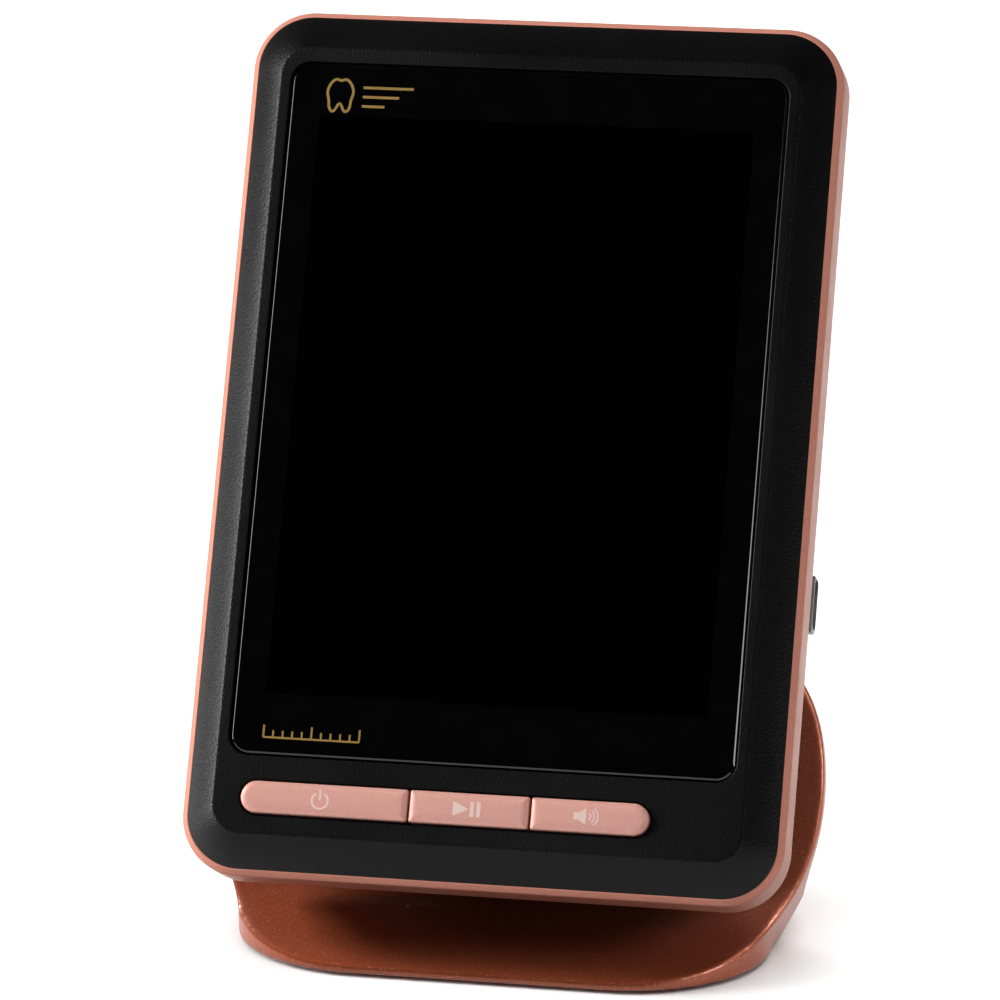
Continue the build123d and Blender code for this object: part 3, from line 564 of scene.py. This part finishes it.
def make_bezel():
    """The black front: skirt, crowned bevel and ridge, and a flat with two openings."""
    rim_low, rim_high = face_box("rim_frame")
    foot, front = rim_high.z, face_box("front_bezel")[1].z
    edge = Vector((1, 1, 0)) * (RIM_FACET + BEZEL_SEAM)
    low, high = rim_low + edge, rim_high - edge
    bm = bmesh.new()
    corners = [BEZEL_CORNER] * 4
    skirt = [outline(low, high, corners, foot - SKIRT_DEPTH, SKIRT_INSET),
             outline(low, high, corners, foot - SKIRT_TURN)]
    rows = skin(bm, skirt + bevel_loops(low, high, foot + SKIRT_TURN, front))
    insets = (FLAT_START, FLAT_START + FLAT_STEP)
    corners = [FRONT_CORNER] * 4
    inner = skin(bm, [outline(FRONT_LOW, FRONT_HIGH, corners, front, inset) for inset in insets], 1)
    lens_low, lens_high = face_box("window_lens")
    grow = Vector((WINDOW_GAP, WINDOW_GAP, 0))
    depth = lens_low.z - WINDOW_DEPTH
    window = hole(bm, lens_low - grow, lens_high + grow, WINDOW_CORNER, front, depth)
    row_low, row_high = key_row_box()
    grow = Vector((SLOT_GAP, SLOT_GAP, 0))
    radius = (row_high.y - row_low.y) / 2 + SLOT_GAP
    slot = hole(bm, row_low - grow, row_high + grow, radius, front, front - SLOT_DEPTH)
    bridge(bm, rows[-1], inner[0], 1)
    edges = row_edges(bm, inner[-1]) + row_edges(bm, window) + row_edges(bm, slot)
    filled = bmesh.ops.triangle_fill(bm, use_beauty=True, use_dissolve=True, edges=edges)
    for item in filled["geom"]:
        if isinstance(item, bmesh.types.BMFace):
            item.material_index = 1
    add_piece("bezel", bm, "head", [LOOKS["bezel_grain"], LOOKS["bezel_flat"]],
              ["front_bezel"], sharp=14.0)


# ---- window -------------------------------------------------------------------------
LENS_FACET, LENS_FACET_DROP = 0.42 * MM, 0.22 * MM    # polished edge of the glass
LENS_ROUNDS = [0.06 * MM, 0.10 * MM]                  # the facet's outer and inner edge
LENS_FLAT = 2.4 * MM         # inset of the last loop, on the flat face
LENS_STEPS = 5
PRINT_LIFT = 0.012 * MM


def make_window():
    """The glass: a polished bevelled edge round a flat face."""
    low, high = face_box("window_lens")
    radius = WINDOW_CORNER - WINDOW_GAP
    corners = [(0, low.z), (0, high.z - LENS_FACET_DROP), (LENS_FACET, high.z), (LENS_FLAT, high.z)]
    profile = soften(corners, LENS_ROUNDS, LENS_STEPS)
    bm = bmesh.new()
    rows = skin(bm, [outline(low, high, [radius] * 4, z, inset) for inset, z in profile])
    bm.faces.new(rows[-1])
    bm.faces.new(list(reversed(rows[0])))
    add_piece("window", bm, "head", [LOOKS["window_glass"]], ["window_lens"],
              sharp=50.0)


TOOTH_SIZE = 3.0 * MM        # half the height of the tooth mark
TOOTH_SLIM = 0.72            # its half width, as a share of that
CROWN_NOTCH, CROWN_NOTCH_REACH = 0.16, 0.28      # dent in the crown, in the same units
ROOT_NOTCH, ROOT_NOTCH_REACH = 0.62, 0.30        # gap between the two roots
WAIST, WAIST_PLACE, WAIST_REACH = 0.16, -0.25, 0.35
TOOTH_STEPS = 56
TOOTH_LEFT, TOOTH_TOP = 7.9 * MM, 5.2 * MM       # from the glass's left and top edges
LINES_LEFT, LINE_PITCH = 3.6 * MM, 1.5 * MM      # three lines, right of the tooth's middle
LINE_LENGTH, LINE_SHRINK = 8.0 * MM, 2.2 * MM    # the top line, and how each next is shorter
GAUGE_LEFT, GAUGE_LOW = 5.2 * MM, 2.7 * MM       # from the glass's left and lower edges
GAUGE_STEP, GAUGE_TICKS = 1.5 * MM, 11
TICK_GROUP = 5               # every fifth tick is a tall one
TALL_TICK, SHORT_TICK = 1.9 * MM, 1.1 * MM
TICK_LIFT = 0.004 * MM       # the ticks lie on the gauge's line
PRINT_LINE = 0.42 * MM
GAUGE_LINE = 0.7 * PRINT_LINE


def swell(value, middle, reach):
    """A smooth hump of height one at middle."""
    return math.exp(-((value - middle) / reach) ** 2)


def tooth_line(x, y):
    """The outline of a two-rooted tooth, crown up."""
    points = []
    for i in range(TOOTH_STEPS):
        turn = 2 * math.pi * i / TOOTH_STEPS
        across, along = math.sin(turn), math.cos(turn)
        notch = 0.0
        if along > 0:
            notch = -CROWN_NOTCH * swell(across, 0, CROWN_NOTCH_REACH)
        elif along < 0:
            notch = ROOT_NOTCH * swell(across, 0, ROOT_NOTCH_REACH)
        slim = TOOTH_SLIM * (1 - WAIST * swell(along, WAIST_PLACE, WAIST_REACH))
        points.append((x + TOOTH_SIZE * across * slim, y + TOOTH_SIZE * (along + notch)))
    return points


def make_print():
    """Gold print on the glass: a tooth mark with three lines, and a plain tick gauge."""
    low, high = face_box("window_lens")
    z = high.z + PRINT_LIFT
    bm = bmesh.new()
    x, y = low.x + TOOTH_LEFT, high.y - TOOTH_TOP
    ribbon(bm, tooth_line(x, y), PRINT_LINE, z, closed=True)
    left = x + LINES_LEFT
    for row in range(3):
        line_y = y + (1 - row) * LINE_PITCH
        right = left + LINE_LENGTH - row * LINE_SHRINK
        ribbon(bm, [(left, line_y), (right, line_y)], PRINT_LINE, z)
    x, y = low.x + GAUGE_LEFT, low.y + GAUGE_LOW
    span = GAUGE_STEP * (GAUGE_TICKS - 1)
    ribbon(bm, [(x, y), (x + span, y)], GAUGE_LINE, z)
    for tick in range(GAUGE_TICKS):
        tall = TALL_TICK if tick % TICK_GROUP == 0 else SHORT_TICK
        tick_x = x + tick * GAUGE_STEP
        ribbon(bm, [(tick_x, y), (tick_x, y + tall)], GAUGE_LINE, z + TICK_LIFT)
    add_piece("glass_print", bm, "head", [LOOKS["gold_print"]])


# ---- keys ---------------------------------------------------------------------------
KEY_FLANGE = 0.6 * MM        # hidden flange of the two end keys, outside the capsule
KEY_SPLIT_CORNER = 0.35 * MM
KEY_DEPTH = 3.2 * MM
KEY_LIP, KEY_LIP_DROP = 0.75 * MM, 0.3375 * MM       # sloping edge: its width and height
KEY_CROWN, KEY_CROWN_INSET = 0.05 * MM, 1.5 * MM     # faint rise inside the sloping edge
KEY_ROUNDS = [0.55 * MM, 1.6 * MM]                   # outer and inner edge of the slope

ICON_LINE = 0.34 * MM
ICON_LIFT = 0.012 * MM
ICON_SHIFT = 0.5 * MM        # the icons sit a little left of each key's middle
POWER_RADIUS, POWER_DROP, POWER_STEM = 1.25 * MM, 0.1 * MM, 1.65 * MM
POWER_ARC = (122, 418)       # degrees, open at the top
PLAY_LEFT, PLAY_TIP, PLAY_HALF = 1.9 * MM, 0.55 * MM, 1.15 * MM
PAUSE_BARS, PAUSE_BAR = (1.05 * MM, 2.05 * MM), 0.6 * MM      # places and width of the bars
MAGNET_WIDTH, MAGNET_HALF = 0.8 * MM, 0.55 * MM
CONE_WIDTH, CONE_HALF = 1.9 * MM, 1.3 * MM       # of the speaker, with its magnet
WAVE_RADII, WAVE_REACH, WAVE_LINE = (0.7 * MM, 1.25 * MM, 1.8 * MM), 48, 0.24 * MM
WAVE_STEPS = 12


def key_span(node, row_low, row_high):
    """One key's corners on the face, without its flange, and its four corner radii."""
    low, high = face_box(node)
    half = (row_high.y - row_low.y) / 2
    left = half if node == "power_button" else KEY_SPLIT_CORNER
    right = half if node == "volume_button" else KEY_SPLIT_CORNER
    low = Vector((max(low.x, row_low.x), row_low.y, low.z))
    high = Vector((min(high.x, row_high.x), row_high.y, high.z))
    return low, high, [right, left, left, right]


def arc(x, y, radius, start, end, steps=24):
    """Points round an arc, angles in degrees."""
    angles = [math.radians(start + (end - start) * i / steps) for i in range(steps + 1)]
    return [(x + radius * math.cos(a), y + radius * math.sin(a)) for a in angles]


def power_icon(bm, x, y, z):
    """A ring open at the top, with a stem in the gap."""
    ribbon(bm, arc(x, y - POWER_DROP, POWER_RADIUS, *POWER_ARC), ICON_LINE, z)
    ribbon(bm, [(x, y), (x, y + POWER_STEM)], ICON_LINE, z)


def play_icon(bm, x, y, z):
    """A triangle that points right, then two bars."""
    back = x - PLAY_LEFT
    patch(bm, [(back, y - PLAY_HALF), (x + PLAY_TIP, y), (back, y + PLAY_HALF)], z)
    for bar in PAUSE_BARS:
        ribbon(bm, [(x + bar, y - PLAY_HALF), (x + bar, y + PLAY_HALF)], PAUSE_BAR, z)


def speaker_icon(bm, x, y, z):
    """A loudspeaker seen from the side, with three sound waves."""
    back = x - CONE_WIDTH
    neck = back + MAGNET_WIDTH
    patch(bm, [(back, y - MAGNET_HALF), (neck, y - MAGNET_HALF), (x, y - CONE_HALF),
               (x, y + CONE_HALF), (neck, y + MAGNET_HALF), (back, y + MAGNET_HALF)], z)
    for radius in WAVE_RADII:
        ribbon(bm, arc(x, y, radius, -WAVE_REACH, WAVE_REACH, WAVE_STEPS), WAVE_LINE, z)


KEYS = [("power_button", "power_key", power_icon), ("play_button", "play_key", play_icon),
        ("volume_button", "volume_key", speaker_icon)]


def make_keys():
    """Three pillow-edged caps, each with its pale icon."""
    row_low, row_high = key_row_box()
    for node, body, icon in KEYS:
        low, high, radii = key_span(node, row_low, row_high)
        top = high.z
        corners = [(0, top - KEY_DEPTH), (0, top - KEY_LIP_DROP), (KEY_LIP, top - KEY_CROWN),
                   (KEY_CROWN_INSET, top)]
        profile = soften(corners, KEY_ROUNDS)
        bm = bmesh.new()
        rows = skin(bm, [outline(low, high, radii, z, inset) for inset, z in profile])
        bm.faces.new(rows[-1])
        bm.faces.new(list(reversed(rows[0])))
        name = node.replace("_button", "_cap")
        add_piece(name, bm, body, [LOOKS["rose_key"]], [node], sharp=50.0)
        bm = bmesh.new()
        icon(bm, (low.x + high.x) / 2 - ICON_SHIFT, (low.y + high.y) / 2, top + ICON_LIFT)
        name = node.replace("_button", "_icon")
        add_piece(name, bm, body, [LOOKS["pale_print"]])


# ---- stand --------------------------------------------------------------------------
STAND_WELD = 0.001 * MM
STAND_VOXEL = 0.36 * MM
STAND_CLOSING = 0.9 * MM     # notches narrower than twice this are filled
STAND_SMOOTHING = 10         # rounds of smoothing, each by half


def make_stand():
    """The stand's CAD shape with its edges rounded and its bends run together."""
    bm = bmesh.new()
    bm.from_mesh(frame["nodes"]["stand_shell"].data)
    bmesh.ops.remove_doubles(bm, verts=bm.verts, dist=STAND_WELD)
    stand = add_piece("stand", bm, "stand", [LOOKS["copper_paint"]],
                      ["stand_shell"], place=Matrix.Identity(4), sharp=180.0)
    for number, grow in enumerate((STAND_CLOSING, -STAND_CLOSING, 0)):
        remesh = stand.modifiers.new("even_skin_%d" % number, "REMESH")
        remesh.mode = "VOXEL"
        remesh.voxel_size = STAND_VOXEL
        remesh.use_smooth_shade = True
        if grow:
            offset = stand.modifiers.new("offset_%d" % number, "DISPLACE")
            offset.mid_level = 0.0
            offset.strength = grow
    smooth = stand.modifiers.new("soft_edges", "SMOOTH")
    smooth.factor = 0.5
    smooth.iterations = STAND_SMOOTHING


# ---- floor and light ------------------------------------------------------------------
FLOOR_HALF, FLOOR_CELLS = 5.0, 8
SURROUND_GREY = (0.10, 0.10, 0.10, 1)
MIRRORED_DARK = (0.004, 0.004, 0.004, 1)
BACKDROP_PALE = (0.95, 0.95, 0.95, 1)
DARK_START, DARK_FULL = 0.35, 0.85      # cosines of the angle to the mirrored direction

# Each light with its place, its width and height, and its watts. One that is not glossy is
# not seen in reflections, and one that is not diffuse is seen in nothing else. Some fall on
# a few pieces only, or on all but these, as flags in a studio make them do.
LIGHTS = {
    "key_light": dict(place=(-1.22, -0.36, 0.51), size=(0.5, 0.9), watts=24.0, never=["stand"]),
    "key_on_stand": dict(place=(-1.25, -0.12, 0.7), size=(0.35, 0.35), watts=44.0,
                         glossy=False, only=["stand"]),
    "right_on_stand": dict(place=(1.25, -0.35, 0.6), size=(0.3, 0.3), watts=8.0,
                           only=["stand"]),
    "bevel_gloss": dict(place=(-1.22, -0.36, 0.51), size=(0.5, 0.9), watts=62.0,
                        diffuse=False, only=["bezel", "window"]),
    "right_strip": dict(place=(1.04, -0.83, 0.76), size=(0.1, 0.7), watts=2.2),
    "right_box": dict(place=(1.3, -0.1, 0.45), size=(0.9, 0.9), watts=3.0, glossy=False),
    "front_fill": dict(place=(0.0, -1.3, 1.5), size=(1.2, 0.9), watts=15.0, glossy=False,
                       never=["stand"]),
    "rear_fill": dict(place=(-0.5, 1.6, 1.0), size=(1.4, 1.0), watts=10.0, glossy=False),
    "edge_top": dict(place=(0.72, -0.02, 1.32), size=(0.6, 0.3), watts=20.0, diffuse=False,
                     only=["stand"]),
    "edge_left": dict(place=(-0.86, 1.06, 0.36), size=(0.4, 0.4), watts=10.0, diffuse=False,
                      only=["stand"]),
    "overhead": dict(place=(0, 0.3, 2.2), size=(3.4, 3.4), watts=88.0, aim=(0, 0.3, 0),
                     glossy=False, only=["floor"]),
}


def make_floor():
    """A wide pale floor, which throws no diffuse light back onto the object."""
    bm = bmesh.new()
    bmesh.ops.create_grid(bm, x_segments=FLOOR_CELLS, y_segments=FLOOR_CELLS, size=FLOOR_HALF)
    mesh = bpy.data.meshes.new("floor")
    bm.to_mesh(mesh)
    bm.free()
    floor = bpy.data.objects.new("floor", mesh)
    bpy.context.scene.collection.objects.link(floor)
    finish = Finish("floor_white", Specular_IOR_Level=0.2)
    patches = finish.noise(0.6)
    finish.feed("Base Color", finish.ramp(patches, (0.86, 0.86, 0.86), (0.88, 0.88, 0.88)))
    finish.feed("Roughness", finish.grey(finish.noise(0.2), 0.7, 0.8))
    mesh.materials.append(finish.material)
    floor.visible_diffuse = False


def make_world():
    """Even grey surroundings, darker where the flat window would mirror them."""
    mirrored = 2 * FACE_OUT.dot(TOWARDS_CAMERA) * FACE_OUT - TOWARDS_CAMERA
    world = bpy.data.worlds.new("studio")
    bpy.context.scene.world = world
    world.use_nodes = True
    nodes, links = world.node_tree.nodes, world.node_tree.links
    background = nodes["Background"]
    place = nodes.new("ShaderNodeTexCoord")
    dot = nodes.new("ShaderNodeVectorMath")
    dot.operation = "DOT_PRODUCT"
    dot.inputs[1].default_value = mirrored
    links.new(place.outputs["Generated"], dot.inputs[0])
    ramp = nodes.new("ShaderNodeValToRGB")
    grey, dark = ramp.color_ramp.elements
    grey.position, grey.color = DARK_START, SURROUND_GREY
    dark.position, dark.color = DARK_FULL, MIRRORED_DARK
    links.new(dot.outputs["Value"], ramp.inputs["Fac"])
    links.new(ramp.outputs["Color"], background.inputs["Color"])
    path = nodes.new("ShaderNodeLightPath")
    pale = nodes.new("ShaderNodeBackground")
    pale.inputs["Color"].default_value = BACKDROP_PALE
    mixed = nodes.new("ShaderNodeMixShader")
    links.new(path.outputs["Is Camera Ray"], mixed.inputs[0])
    links.new(background.outputs[0], mixed.inputs[1])
    links.new(pale.outputs[0], mixed.inputs[2])
    links.new(mixed.outputs[0], nodes["World Output"].inputs["Surface"])


def softbox(name, place, size, watts, aim, glossy=True, diffuse=True, only=(), never=()):
    """A soft rectangular light, not itself in the camera's view."""
    data = bpy.data.lights.new(name, "AREA")
    data.shape = "RECTANGLE"
    data.size, data.size_y = size
    data.energy = watts
    light = bpy.data.objects.new(name, data)
    bpy.context.scene.collection.objects.link(light)
    light.location = place
    light.rotation_mode = "QUATERNION"
    light.rotation_quaternion = (Vector(aim) - Vector(place)).to_track_quat("-Z", "Y")
    light.visible_glossy = glossy
    light.visible_diffuse = diffuse
    light.visible_camera = False
    if only or never:
        choose_pieces(light, only or never, "INCLUDE" if only else "EXCLUDE")


def choose_pieces(light, pieces, state):
    """Lets a light fall on these pieces alone or, with EXCLUDE, on all but these."""
    group = bpy.data.collections.new(light.name + "_pieces")
    for piece in pieces:
        group.objects.link(bpy.data.objects[piece])
    light.light_linking.receiver_collection = group
    for member in group.collection_objects:
        member.light_linking.link_state = state


def make_lights():
    """All the lights, aimed at the middle of the object unless they say otherwise."""
    middle = (CAD_BOX[0] + CAD_BOX[1]) / 2
    for name, values in LIGHTS.items():
        softbox(name, **{"aim": middle, **values})


# ---- everything -----------------------------------------------------------------------
finish_kept_nodes()
make_rim()
make_bezel()
make_window()
make_print()
make_keys()
make_stand()
make_floor()
make_world()
make_lights()
bpy.context.scene.view_settings.view_transform = "Standard"
